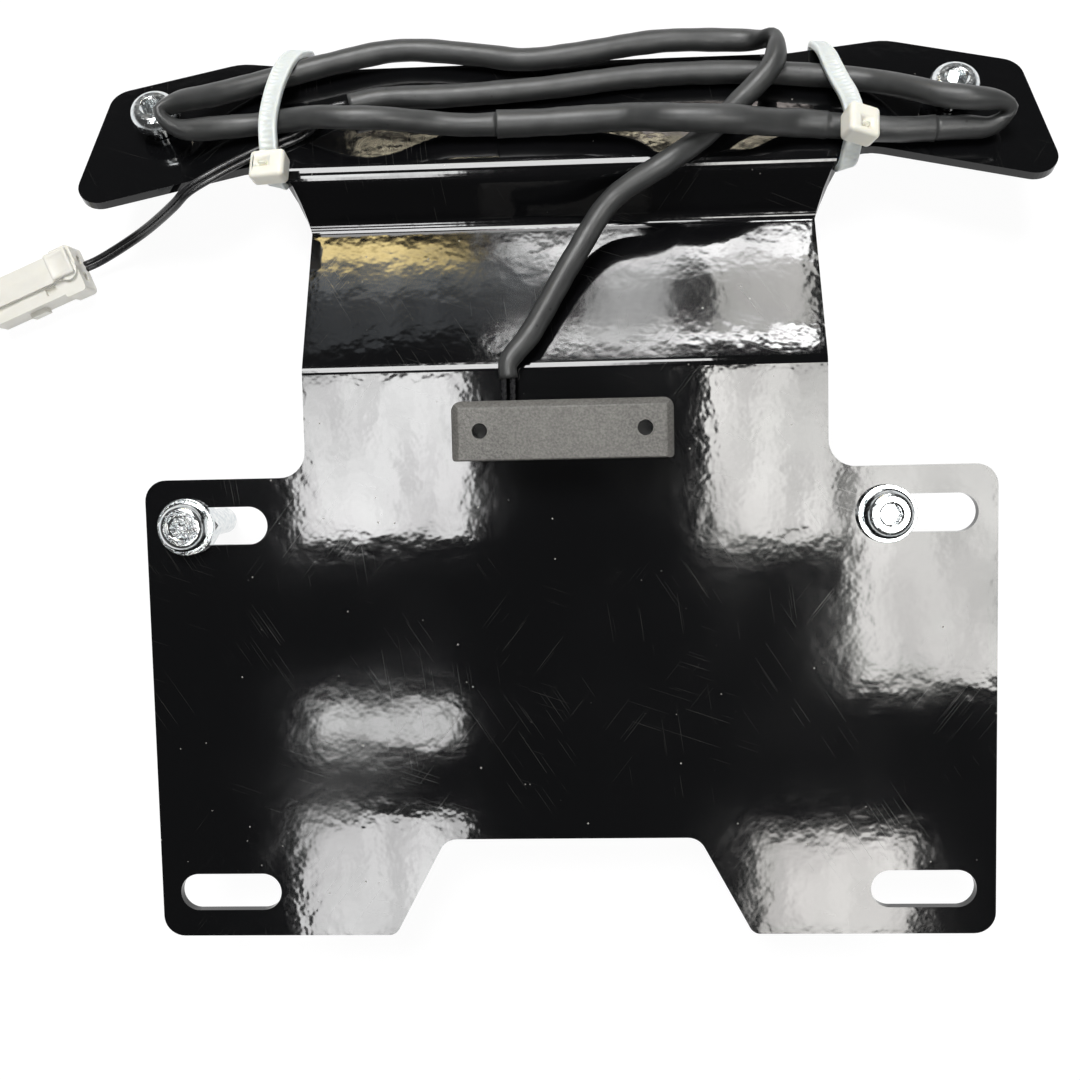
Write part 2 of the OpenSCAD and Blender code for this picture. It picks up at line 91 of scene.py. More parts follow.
class Nodes:
    """Small helper that adds shader nodes to one material and links them."""

    def __init__(self, name):
        self.material = bpy.data.materials.new(name)
        self.material.use_nodes = True
        self.tree = self.material.node_tree
        self.shader = self.tree.nodes["Principled BSDF"]
        self.place = self.add("ShaderNodeTexCoord").outputs["Object"]

    def add(self, kind, **values):
        node = self.tree.nodes.new(kind)
        for key, value in values.items():
            setattr(node, key, value)
        return node

    def link(self, source, target):
        self.tree.links.new(source, target)

    def set(self, **values):
        for key, value in values.items():
            self.shader.inputs[key.replace("_", " ")].default_value = value

    def stretched(self, scale, turn):
        """Coordinates that are turned first and then scaled along each axis."""
        mapping = self.add("ShaderNodeMapping", vector_type="TEXTURE")
        self.link(self.place, mapping.inputs["Vector"])
        mapping.inputs["Scale"].default_value = [1 / s for s in scale]
        mapping.inputs["Rotation"].default_value = [math.radians(a) for a in turn]
        return mapping.outputs["Vector"]

    def noise(self, scale, detail=2.0, vector=None, rough=0.5):
        node = self.add("ShaderNodeTexNoise")
        self.link(vector or self.place, node.inputs["Vector"])
        node.inputs["Scale"].default_value = scale
        node.inputs["Detail"].default_value = detail
        node.inputs["Roughness"].default_value = rough
        return node.outputs["Fac"]

    def cells(self, scale):
        node = self.add("ShaderNodeTexVoronoi")
        self.link(self.place, node.inputs["Vector"])
        node.inputs["Scale"].default_value = scale
        return node.outputs["Distance"]

    def span(self, value, low, high, to_low=0.0, to_high=1.0):
        node = self.add("ShaderNodeMapRange")
        self.link(value, node.inputs["Value"])
        set_span(node, low, high, to_low, to_high)
        return node.outputs["Result"]

    def math(self, operation, a, b):
        node = self.add("ShaderNodeMath", operation=operation)
        for i, value in enumerate((a, b)):
            if isinstance(value, (int, float)):
                node.inputs[i].default_value = value
            else:
                self.link(value, node.inputs[i])
        return node.outputs["Value"]

    def blend(self, factor, first, second):
        node = self.add("ShaderNodeMix", data_type="RGBA")
        self.link(factor, node.inputs["Factor"])
        for key, value in (("A", first), ("B", second)):
            socket = [s for s in node.inputs if s.name == key and s.type == "RGBA"][0]
            if isinstance(value, tuple):
                socket.default_value = (*value, 1)
            else:
                self.link(value, socket)
        return [s for s in node.outputs if s.type == "RGBA"][0]

    def bump(self, height, strength, distance):
        node = self.add("ShaderNodeBump")
        node.inputs["Strength"].default_value = strength
        node.inputs["Distance"].default_value = distance
        self.link(height, node.inputs["Height"])
        self.link(node.outputs["Normal"], self.shader.inputs["Normal"])

    def to(self, key, value):
        self.link(value, self.shader.inputs[key])

    def surface(self, output):
        self.link(output, self.tree.nodes["Material Output"].inputs["Surface"])


def hairlines(m, turn, keep):
    """Fine scratches in one direction: short thin streaks, kept only here and there."""
    streaks = m.noise(1.0, 1.0, m.stretched((5200.0, 46.0, 46.0), turn))
    patches = m.noise(38.0, 1.0, m.stretched((1, 1, 1), turn))
    line = m.span(streaks, keep, keep + 0.02)
    return m.math("MULTIPLY", line, m.span(patches, 0.54, 0.7))


def black_paint():
    m = Nodes("black_paint")
    m.set(IOR=1.5)
    specks = m.span(m.cells(420.0), 0.10, 0.05)
    chosen = m.span(m.noise(240.0, 0.0), 0.66, 0.7)
    dust = m.math("MULTIPLY", specks, chosen)
    scratches = hairlines(m, (0, 0, 33), 0.7)
    for turn, keep in (((0, 0, -38), 0.71), ((0, 0, 71), 0.72), ((0, 0, 8), 0.72)):
        scratches = m.math("MAXIMUM", scratches, hairlines(m, turn, keep))
    marks = m.math("MAXIMUM", m.math("MULTIPLY", scratches, 0.1), m.math("MULTIPLY", dust, 0.8))
    m.to("Base Color", m.blend(marks, (0.0035, 0.0036, 0.004), (0.34, 0.33, 0.3)))
    film = m.span(m.noise(26.0, 3.0), 0.42, 0.75, 0.0, 0.07)
    m.to("Roughness", m.math("ADD", m.math("MULTIPLY", marks, 0.4), m.math("ADD", film, 0.045)))
    peel = m.math("ADD", m.noise(520.0, 1.0), m.math("MULTIPLY", m.noise(150.0, 1.0), 2.4))
    m.bump(peel, 0.1, 0.00012)
    return m.material


def zinc():
    m = Nodes("bright_zinc")
    m.set(Metallic=1.0, Roughness=0.2)
    stain = m.noise(900.0, 4.0)
    m.to("Base Color", m.blend(m.span(stain, 0.35, 0.7), (0.62, 0.66, 0.68), (0.84, 0.85, 0.84)))
    m.to("Roughness", m.span(m.noise(1500.0, 3.0), 0.3, 0.75, 0.1, 0.32))
    m.bump(m.noise(2600.0, 3.0), 0.12, 0.0001)
    return m.material


def soft_sleeve():
    m = Nodes("soft_sleeve")
    m.set(IOR=1.5)
    cloud = m.noise(260.0, 4.0)
    pits = m.math("MULTIPLY", m.span(m.cells(330.0), 0.12, 0.06), m.span(m.noise(190.0, 0.0), 0.55, 0.6))
    shade = m.blend(m.span(cloud, 0.3, 0.75), (0.03, 0.031, 0.031), (0.046, 0.047, 0.046))
    m.to("Base Color", m.blend(pits, shade, (0.008, 0.008, 0.008)))
    m.to("Roughness", m.span(m.noise(700.0, 3.0), 0.3, 0.8, 0.36, 0.5))
    m.bump(m.noise(3800.0, 2.0), 0.2, 0.0001)
    return m.material


def wire_black():
    m = Nodes("wire_black")
    m.to("Base Color", m.blend(m.noise(700.0, 2.0), (0.010, 0.010, 0.011), (0.022, 0.022, 0.023)))
    m.to("Roughness", m.span(m.noise(1200.0), 0.3, 0.8, 0.22, 0.38))
    m.bump(m.noise(2400.0), 0.1, 0.0001)
    return m.material


def bar_plastic():
    m = Nodes("bar_plastic")
    fine = m.span(m.noise(2100.0, 2.0), 0.35, 0.65, 0.0, 0.7)
    broad = m.span(m.noise(120.0), 0.3, 0.7, 0.0, 0.3)
    speckle = m.math("ADD", fine, broad)
    m.to("Base Color", m.blend(speckle, (0.066, 0.063, 0.057), (0.15, 0.145, 0.132)))
    m.to("Roughness", m.span(m.noise(1600.0, 2.0), 0.3, 0.8, 0.42, 0.6))
    m.bump(m.noise(2300.0, 3.0, rough=0.6), 0.55, 0.00022)
    return m.material


def clear_lens():
    m = Nodes("clear_lens")
    m.set(Roughness=0.06, IOR=1.58, Transmission_Weight=1.0)
    m.to("Base Color", m.blend(m.noise(300.0), (0.88, 0.91, 0.92), (0.95, 0.97, 0.97)))
    ribs = m.add("ShaderNodeTexWave", bands_direction="X")
    m.link(m.place, ribs.inputs["Vector"])
    ribs.inputs["Scale"].default_value = 160.0
    m.bump(ribs.outputs["Fac"], 0.5, 0.0003)
    return m.material


def plain(name, dark, light, rough, metallic=0.0):
    """Finish of a small part, or the painted shade of the light's screws: nearly one colour, with a fine
    grain.
    """
    grain = 900.0
    m = Nodes(name)
    m.set(Metallic=metallic)
    m.to("Base Color", m.blend(m.noise(grain, 3.0), dark, light))
    m.to("Roughness", m.span(m.noise(grain * 1.6, 2.0), 0.3, 0.8, rough - 0.07, rough + 0.08))
    m.bump(m.noise(grain * 2.5), 0.1, 0.0001)
    return m.material


def clear_nylon():
    m = Nodes("clear_nylon")
    m.set(IOR=1.53, Transmission_Weight=0.12)
    m.set(Subsurface_Weight=0.5, Subsurface_Radius=(0.0022, 0.0020, 0.0016))
    m.to("Base Color", m.blend(m.noise(420.0, 3.0), (0.72, 0.76, 0.74), (0.79, 0.82, 0.8)))
    m.to("Roughness", m.span(m.noise(1200.0, 2.0), 0.3, 0.8, 0.3, 0.42))
    m.bump(m.noise(2200.0, 2.0), 0.06, 0.0001)
    return m.material


def white_nylon():
    m = Nodes("white_nylon")
    m.set(IOR=1.5)
    m.set(Subsurface_Weight=0.25, Subsurface_Radius=(0.0016, 0.0014, 0.001))
    m.to("Base Color", m.blend(m.noise(240.0, 3.0), (0.68, 0.665, 0.6), (0.77, 0.755, 0.7)))
    m.to("Roughness", m.span(m.noise(900.0, 2.0), 0.3, 0.8, 0.34, 0.48))
    m.bump(m.noise(1900.0, 2.0), 0.12, 0.0001)
    return m.material


def tie_head():
    m = Nodes("tie_head")
    m.set(IOR=1.5)
    m.set(Subsurface_Weight=0.35, Subsurface_Radius=(0.002, 0.0017, 0.0011))
    m.to("Base Color", m.blend(m.noise(180.0, 3.0), (0.78, 0.755, 0.655), (0.86, 0.85, 0.78)))
    m.to("Roughness", m.span(m.noise(900.0, 2.0), 0.3, 0.8, 0.34, 0.46))
    m.bump(m.noise(1500.0, 2.0), 0.14, 0.0001)
    return m.material


MATERIALS = {
    "black_paint": black_paint(),
    "bright_zinc": zinc(),
    "soft_sleeve": soft_sleeve(),
    "wire_black": wire_black(),
    "bar_plastic": bar_plastic(),
    "clear_lens": clear_lens(),
    "board_green": plain("board_green", (0.02, 0.10, 0.045), (0.035, 0.15, 0.07), 0.35),
    "led_yellow": plain("led_yellow", (0.78, 0.7, 0.3), (0.86, 0.8, 0.45), 0.3),
    "white_nylon": white_nylon(),
    "brass_pin": plain("brass_pin", (0.55, 0.38, 0.14), (0.68, 0.49, 0.21), 0.25, metallic=1.0),
    "clear_nylon": clear_nylon(),
    "tie_head": tie_head(),
    # Painted shade: the light's screws are painted near black for the shade of the holes they sit in
    "screw_painted_shade": plain("screw_painted_shade", (0.006, 0.006, 0.006), (0.012, 0.012, 0.012), 0.62),
}


# Pieces
WELD_GAP = 0.000004
BEVEL_FROM = math.radians(32)
BEVEL_STEPS = 3
SPAN_STEPS = 16


def dress(node, material, bevel=0.0):
    """Gives a CAD node its material, and rounds its edges a little."""
    piece = nodes[node]
    piece.data.materials.clear()
    piece.data.materials.append(MATERIALS[material])
    if bevel:
        weld = piece.modifiers.new("weld", "WELD")
        weld.merge_threshold = WELD_GAP
        edge = piece.modifiers.new("edge", "BEVEL")
        edge.width = bevel
        edge.segments = BEVEL_STEPS
        edge.limit_method = "ANGLE"
        edge.angle_limit = BEVEL_FROM
        edge.use_clamp_overlap = True
        edge.harden_normals = True
        piece.modifiers.new("shade", "WEIGHTED_NORMAL").keep_sharp = True


def add_piece(name, mesh, material):
    """Puts a mesh in the scene, smooth, with its material, on the one body."""
    for polygon in mesh.polygons:
        polygon.use_smooth = True
    piece = bpy.data.objects.new(name, mesh)
    bpy.context.scene.collection.objects.link(piece)
    mesh.materials.append(MATERIALS[material])
    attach(piece, "root")
    return piece


def mesh_piece(name, points, faces, material):
    """A piece from points and faces, with every face turned outwards."""
    mesh = bpy.data.meshes.new(name)
    mesh.from_pydata([tuple(p) for p in points], [], faces)
    mesh.validate()
    work = bmesh.new()
    work.from_mesh(mesh)
    bmesh.ops.recalc_face_normals(work, faces=work.faces)
    work.to_mesh(mesh)
    work.free()
    return add_piece(name, mesh, material)


def rounded_block(size, corner, steps, foot=1.0):
    """A block with rounded edges, its lower half made narrower by foot, and its top face."""
    work = bmesh.new()
    bmesh.ops.create_cube(work, size=1)
    for vert in work.verts:
        vert.co = Vector(a * b for a, b in zip(vert.co, size))
        if vert.co.z < 0:
            vert.co.y *= foot
    bmesh.ops.bevel(
        work, geom=list(work.edges), offset=corner, segments=steps, affect="EDGES", profile=0.5
    )
    top = max((f for f in work.faces if f.normal.z > 0.99), key=lambda f: f.calc_area())
    return work, top


def sink_face(work, face, inset, depth):
    """Makes the face smaller by inset on every side and lowers it by depth."""
    bmesh.ops.inset_region(work, faces=[face], thickness=inset)
    for vert in face.verts:
        vert.co.z -= depth


def block_piece(name, work, material):
    """A piece from a worked block, shaded by its larger faces."""
    mesh = bpy.data.meshes.new(name)
    work.to_mesh(mesh)
    work.free()
    block = add_piece(name, mesh, material)
    block.modifiers.new("shade", "WEIGHTED_NORMAL")
    return block


def spline(route, step):
    """Even points along one smooth curve through the route's points (centripetal Catmull-Rom),
    and its length."""
    pts = [Vector(p) for p in route]
    pts = [2 * pts[0] - pts[1]] + pts + [2 * pts[-1] - pts[-2]]
    fine = []
    for p0, p1, p2, p3 in zip(pts, pts[1:], pts[2:], pts[3:]):
        t0 = 0.0
        t1 = t0 + (p1 - p0).length ** 0.5
        t2 = t1 + (p2 - p1).length ** 0.5
        t3 = t2 + (p3 - p2).length ** 0.5
        for k in range(SPAN_STEPS):
            t = t1 + (t2 - t1) * k / SPAN_STEPS
            a1 = p0 * ((t1 - t) / (t1 - t0)) + p1 * ((t - t0) / (t1 - t0))
            a2 = p1 * ((t2 - t) / (t2 - t1)) + p2 * ((t - t1) / (t2 - t1))
            a3 = p2 * ((t3 - t) / (t3 - t2)) + p3 * ((t - t2) / (t3 - t2))
            b1 = a1 * ((t2 - t) / (t2 - t0)) + a2 * ((t - t0) / (t2 - t0))
            b2 = a2 * ((t3 - t) / (t3 - t1)) + a3 * ((t - t1) / (t3 - t1))
            fine.append(b1 * ((t2 - t) / (t2 - t1)) + b2 * ((t - t1) / (t2 - t1)))
    fine.append(pts[-2])
    total = sum((b - a).length for a, b in zip(fine, fine[1:]))
    count = max(2, round(total / step))
    even, run, i = [fine[0]], 0.0, 0
    for k in range(1, count):
        goal = total * k / count
        while run + (fine[i + 1] - fine[i]).length < goal:
            run += (fine[i + 1] - fine[i]).length
            i += 1
        even.append(fine[i].lerp(fine[i + 1], (goal - run) / (fine[i + 1] - fine[i]).length))
    return even + [fine[-1]], total


def band(row, next_row, sides):
    """Faces between two rings of points, each given by the number of its first point."""
    pairs = [(k, (k + 1) % sides) for k in range(sides)]
    return [(row + a, row + b, next_row + b, next_row + a) for a, b in pairs]


def tube(name, route, diameter, material, sides, step, shape=None):
    """A mesh tube along the route, in millimetres of the plate's frame, with its path and length
    in metres. shape(p) gives the width and height of the ring at p as shares of the diameter."""
    path, total = spline(route, step)
    points, faces = [], []
    for i, p in enumerate(path):
        ahead = path[min(i + 1, len(path) - 1)] - path[max(i - 1, 0)]
        side = ahead.normalized().cross(Vector((0, 0, 1))).normalized()
        rise = side.cross(ahead).normalized()
        wide, high = shape(p) if shape else (1.0, 1.0)
        for k in range(sides):
            turn = 2 * math.pi * k / sides
            offset = side * math.cos(turn) * wide + rise * math.sin(turn) * high
            points.append(at(*(p + offset * diameter / 2)))
    for i in range(len(path) - 1):
        faces += band(i * sides, (i + 1) * sides, sides)
    faces.append(tuple(range(sides - 1, -1, -1)))
    last = (len(path) - 1) * sides
    faces.append(tuple(last + k for k in range(sides)))
    piece = mesh_piece(name, points, faces, material)
    return piece, [at(*p) for p in path], total / 1000


# Cords: the same route points as in the part's source
INNER_ROUTE = [
    (-11, 118.5, 3.2), (-11, 121.5, 3.2), (-6.5, 127.5, 1.2), (3, 144, -4.2),
    (11, 155.5, -5), (22.5, 162.5, -3.4), (29.5, 167.5, -5.8), (38, 175.5, -8.5),
    (45, 183, -8.8), (46, 186.5, -10.6), (45.9, 190, -14.5), (42, 191.2, -18.4),
    (22.5, 191.8, -18.6), (1.5, 189, -17.2), (-8, 188.5, -17.2), (-18, 190.3, -18.4),
    (-35, 192, -19), (-50, 189.2, -17.6), (-63.5, 185.5, -15.6), (-74, 181.6, -11.2),
    (-81, 178, -4.6), (-83.2, 175.9, -3.4), (-82, 174, -3.6), (-79.5, 172.8, -4.6),
    (-71, 174, -8.6), (-62.5, 174.7, -9.5), (-51, 174.5, -5.2), (-45, 173.8, -3.8),
    (-37, 173.5, -4.2), (-25, 173, -8), (-19, 172.6, -8.4), (-13, 172.6, -8.4),
]
SPLICE_ROUTE = [
    (-13, 172.6, -8.4), (-5, 172.6, -8.4), (15, 172.4, -5.8), (22, 171, -1.8),
    (29, 170.3, -0.6), (36.5, 170, -1.2), (43, 170, -4), (50, 170.2, -6.6),
    (69.5, 168, -5.8), (77.5, 168, -5.8),
]
OUTER_ROUTE = [
    (77.5, 168, -5.8), (84, 168, -5.8), (88.5, 168, -6), (91.5, 169.6, -5.6),
    (92, 171.2, -4.4), (90, 172.2, -3.2), (83, 172.8, -1.6), (78, 174, -3.2),
    (74, 176, -5.8), (66, 179.8, -12), (56, 181.8, -13.9), (39, 183.5, -15),
    (18, 183.4, -15), (-3, 181.3, -13.8), (-23.5, 180.1, -13), (-38, 180, -13),
    (-45, 178.6, -12.2),
]
WIRE_ROUTE = [
    (-45.3, 178.5, -12.2), (-48.5, 177.9, -12), (-55.5, 172.3, -10.4), (-65, 168, -8),
    (-75, 162.2, -4.9), (-79, 160, -5.2), (-83, 157.8, -8.2), (-95, 153.8, -19),
    (-106, 149, -22.6), (-109, 147.8, -22.6),
]
WIRE_GAP = Vector((-0.28, 0.57, 0))
SLEEVE_D = 4.8
SPLICE_D = 5.5
WIRE_D = 1.2
SLEEVE_SIDES = 28
WIRE_SIDES = 14
WIRE_STEP = 0.8
SLEEVE_START = Vector(INNER_ROUTE[0])
START_REACH = 6.0
FOLDS = [Vector((46, 190, -14.5)), Vector((-83, 175.5, -3.5)), Vector((92, 171, -4.6))]
FOLD_REACH = 4.5
LAYER_END = 56.0


def sleeve_shape(p):
    """Round, but pinched flat where the sleeve is folded, slimmer at its start and never quite
    even."""
    near = min((p - fold).length for fold in FOLDS)
    pinch = math.exp(-((near / FOLD_REACH) ** 2))
    uneven = 0.018 * math.sin(p.x * 0.41) + 0.014 * math.sin(p.x * 0.93 + p.y * 0.7)
    slim = 1.0 - 0.22 * math.exp(-(((p - SLEEVE_START).length / START_REACH) ** 2))
    return (1.0 + uneven - 0.42 * pinch) * slim, (1.0 - uneven * 0.6 + 0.12 * pinch) * slim


def splice_shape(p):
    """As the sleeve, with its upper layer cut off before the right tie."""
    wide, high = sleeve_shape(p)
    layer = 1.03 if p.x < LAYER_END else 0.95
    return wide * layer, high * layer


cords = {}
for name, route, diameter, step, shape in (
    ("cable_sleeve_inner", INNER_ROUTE, SLEEVE_D, 0.9, sleeve_shape),
    ("splice_sleeve", SPLICE_ROUTE, SPLICE_D, 0.45, splice_shape),
    ("cable_sleeve_outer", OUTER_ROUTE, SLEEVE_D, 0.9, sleeve_shape),
):
    cords[name] = tube(name + "_look", route, diameter, "soft_sleeve", SLEEVE_SIDES, step, shape)
for name, side in (("lead_wire_upper", 1), ("lead_wire_lower", -1)):
    route = [Vector(p) + side * WIRE_GAP for p in WIRE_ROUTE]
    cords[name] = tube(name + "_look", route, WIRE_D, "wire_black", WIRE_SIDES, WIRE_STEP)
for name, (piece, _, _) in cords.items():
    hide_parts(name)

# Plug: its housing and sockets come from the CAD, and the block on top is made here
PLUG_AT = Vector(WIRE_ROUTE[-1])
PLUG_TURN = 202
PLUG_TOP = 3.2
BLOCK_SIZE = (5.4, 6.0, 1.8)
BLOCK_SHIFT = Vector((4.0, -1.7, PLUG_TOP + BLOCK_SIZE[2] / 2))


def plug_block():
    """Raised block with a shallow tray on top, near the plug's wire end."""
    work, face = rounded_block(BLOCK_SIZE, 0.4, 4)
    sink_face(work, face, 0.8, 0.0)
    sink_face(work, face, 0.3, 0.35)
    turn = Matrix.Rotation(math.radians(PLUG_TURN), 3, "Z")
    for vert in work.verts:
        vert.co = at(*(PLUG_AT + turn @ (vert.co + BLOCK_SHIFT)))
    return block_piece("connector_block", work, "white_nylon")


housing = nodes["connector_housing"]
plug_pieces = [housing, nodes["terminal_upper"], nodes["terminal_lower"], plug_block()]


# Cable ties: ridged straps on their own loops, and heads with a window
STRAP_WIDE = 4.0
STRAP_THICK = 1.4
STRAP_CORNER = 0.35
STRAP_STEP = 0.28
LANE_HALF = 1.15
TOOTH_STEP = 1.12
TOOTH_RISE = 0.16
HEAD_CORNER = 1.05
HEAD_FOOT = 0.86
BAR_SIZE = (1.5, 0.55, 1.4)
BAR_SINK = 0.95


def strap_outline():
    """Points round the strap's section: the edges of its toothed lane, then its corners."""
    outline = [(LANE_HALF + 0.1, STRAP_THICK / 2), (LANE_HALF - 0.1, STRAP_THICK / 2)]
    outline += [(-x, y) for x, y in reversed(outline)]
    for sx, sy, start in ((-1, 1, 90), (-1, -1, 180), (1, -1, 270), (1, 1, 0)):
        for turn in (0, 30, 60, 90):
            angle = math.radians(start + turn)
            outline.append((
                sx * (STRAP_WIDE / 2 - STRAP_CORNER) + STRAP_CORNER * math.cos(angle),
                sy * (STRAP_THICK / 2 - STRAP_CORNER) + STRAP_CORNER * math.sin(angle),
            ))
    return outline


def closed_ring(loop):
    """Even points once round a closed loop."""
    path, _ = spline(loop[-2:] + loop + loop[:3], STRAP_STEP)
    start = Vector(loop[0])
    half = len(path) // 2
    first = min(range(half), key=lambda i: (path[i] - start).length)
    last = min(range(half, len(path)), key=lambda i: (path[i] - start).length)
    return path[first:last]


def build_strap(name, loop, lean):
    """Closed strap through (u, v, n) points of the wing, its outer face leaning along X by lean."""
    ring = closed_ring(loop)
    middle = sum(ring, Vector()) / len(ring)
    quarter = Matrix.Rotation(math.radians(90), 3, "X")
    outline = strap_outline()
    sides = len(outline)
    points, faces = [], []
    for i, p in enumerate(ring):
        ahead = (ring[(i + 1) % len(ring)] - ring[i - 1]).normalized()
        out = Vector((lean, 0, 0)) + (quarter @ ahead)
        if out.dot(p - middle) < 0:
            out = Vector((lean, 0, 0)) - (quarter @ ahead)
        out = (out - ahead * out.dot(ahead)).normalized()
        across = ahead.cross(out).normalized()
        tooth = TOOTH_RISE * math.sin(i * STRAP_STEP / TOOTH_STEP * 2 * math.pi) - TOOTH_RISE
        for x, y in outline:
            rise = tooth if y > 0.5 and abs(x) < LANE_HALF else 0
            points.append(on_wing(*(p + across * x + out * (y + rise))))
        faces += band(i * sides, (i + 1) % len(ring) * sides, sides)
    piece = mesh_piece(name + "_strap", points, faces, "clear_nylon")
    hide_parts(name)


def build_head(name, place, size, facing, turn, window):
    """Head of a tie at a (u, v, n) point of the wing: a rounded block with a window off its
    middle by window, and a bar across it."""
    out = Vector(facing).normalized()
    along = Vector((math.sin(math.radians(turn)), math.cos(math.radians(turn)), 0))
    along = (along - out * along.dot(out)).normalized()
    across = along.cross(out).normalized()
    work, face = rounded_block(size, HEAD_CORNER, 5, HEAD_FOOT)
    sink_face(work, face, 0.75, 0.0)
    for vert in face.verts:
        vert.co.x = vert.co.x * 0.85 + window[0]
        vert.co.y = vert.co.y * 0.75 + window[1]
    for inset, depth in ((0.15, 0.45), (0.55, 0.0), (0.1, 1.1)):
        sink_face(work, face, inset, depth)
    for vert in bmesh.ops.create_cube(work, size=1)["verts"]:
        vert.co = Vector((
            vert.co.x * BAR_SIZE[0] + window[0],
            vert.co.y * BAR_SIZE[1] + window[1],
            vert.co.z * BAR_SIZE[2] + size[2] / 2 - BAR_SINK,
        ))
    turned = Matrix((across, along, out)).transposed()
    for vert in work.verts:
        vert.co = on_wing(*(Vector(place) + turned @ vert.co))
    block_piece(name + "_head", work, "tie_head")


LEFT_LOOP = [
    (-60.6, 1.6, 3.2), (-60.7, 4.6, 5.6), (-60.9, 8.4, 6.7), (-60.8, 12.5, 6.9), (-60.2, 19.5, 6.6),
    (-58.9, 26.3, 5.8), (-57.6, 31.2, 3.6), (-56.5, 33.8, 0.6), (-56.6, 33.4, -2.2), (-57.2, 30, -3.1),
    (-58.6, 18, -2.8), (-59.8, 5, -3.4), (-60.2, 0.6, -3.2), (-60.4, -0.5, -0.6),
]
RIGHT_LOOP = [
    (60.9, 3.0, 6.1), (60.4, 6.2, 7.2), (59.8, 10.5, 7.0), (58.7, 15, 6.4), (57.7, 19.5, 6.0),
    (57.2, 23.8, 5.0), (57, 28.5, 2.4), (56.8, 32.2, -0.3), (56.9, 32.2, -2.5), (57.2, 30, -3.1),
    (58.2, 18, -2.8), (59.2, 5, -3.4), (59.6, 0.8, -3.3), (60, -0.5, -1), (60.5, 1.2, 2.6),
]
build_strap("cable_tie_left", LEFT_LOOP, -0.2)
build_head(
    "cable_tie_left", place=(-60.3, -1.2, 3.9), size=(7.6, 6.7, 4.4), facing=(-0.12, -0.12, 0.98),
    turn=2, window=(-1.0, 0.3),
)
build_strap("cable_tie_right", RIGHT_LOOP, 0.15)
build_head(
    "cable_tie_right", place=(61.2, 1.6, 7.4), size=(6.8, 7.4, 5.0), facing=(0.34, -0.1, 0.93),
    turn=4, window=(0.2, -0.9),
)

# CAD nodes that only need their finish, and the light's screws, painted near black as the shade of their
# holes
pair = ("left", "right")
for material, bevel, names in (
    ("black_paint", 0.00035, ["bracket"]),
    ("bar_plastic", 0.00015, ["light_housing"]),
    ("clear_lens", 0.0001, ["light_lens"]),
    ("board_green", 0.0, ["led_board"]),
    ("led_yellow", 0.0, ["led_left", "led_middle", "led_right"]),
    ("bright_zinc", 0.00015, [f"plate_screw_{side}" for side in pair]),
    ("bright_zinc", 0.00015, [f"plate_washer_{side}" for side in pair]),
    ("bright_zinc", 0.00015, [f"plate_nut_{side}" for side in pair]),
    ("bright_zinc", 0.00015, [f"tail_screw_{side}" for side in pair]),
    ("black_paint", 0.00015, [f"tail_nut_{side}" for side in pair]),
    # The light's screws: painted near black, as painted shade of the holes they sit in
    ("screw_painted_shade", 0.0001, [f"light_screw_{side}" for side in pair]),
    ("wire_black", 0.0, [f"light_wire_{side}" for side in pair]),
    ("white_nylon", 0.0002, ["connector_housing"]),
    ("brass_pin", 0.0, ["terminal_upper", "terminal_lower"]),
):
    for node in names:
        dress(node, material, bevel)

# Panels of light for the gloss plate, then floor, world and lamps
PANEL_FAR = 1.0
PANEL_STREAKS = (30.0, 5.0, 5.0)
FACES = {"deck": (0, 0, 0), "fall": (126, -2, FALL_ANGLE), "wing": (*CORNER, WING_ANGLE)}


def panel_glow(name, strength, colour, dim):
    """A glow that drifts in streaks between its strength and the share dim of it."""
    m = Nodes(name)
    glow = m.add("ShaderNodeEmission")
    glow.inputs["Color"].default_value = (*colour, 1)
    streaks = m.add("ShaderNodeMapping")
    streaks.inputs["Scale"].default_value = PANEL_STREAKS
    m.link(m.place, streaks.inputs["Vector"])
    cloud = m.noise(1.0, 3.0, streaks.outputs["Vector"])
    m.link(m.span(cloud, 0.3, 0.65, strength * dim, strength), glow.inputs["Strength"])
    m.surface(glow.outputs["Emission"])
    return m.material


def mirror_panel(name, face, outline, material):
    """A lit panel placed so that the camera sees it mirrored in that face of the bracket inside
    this outline of (x, y) points, in millimetres."""
    edge_y, edge_z, tilt = FACES[face]
    lean = math.radians(tilt)
    normal = Vector((0, math.sin(lean), math.cos(lean)))
    points = []
    for x, y in outline:
        spot = at(x, y, edge_z - (y - edge_y) * math.tan(lean))
        ray = (spot - EYE).normalized()
        points.append(spot + (ray - 2 * ray.dot(normal) * normal) * PANEL_FAR)
    mesh = bpy.data.meshes.new(name)
    mesh.from_pydata(points, [], [tuple(range(len(points)))])
    mesh.materials.append(material)
    panel = bpy.data.objects.new(name, mesh)
    bpy.context.scene.collection.objects.link(panel)
    panel.visible_camera = False
    panel.visible_diffuse = False


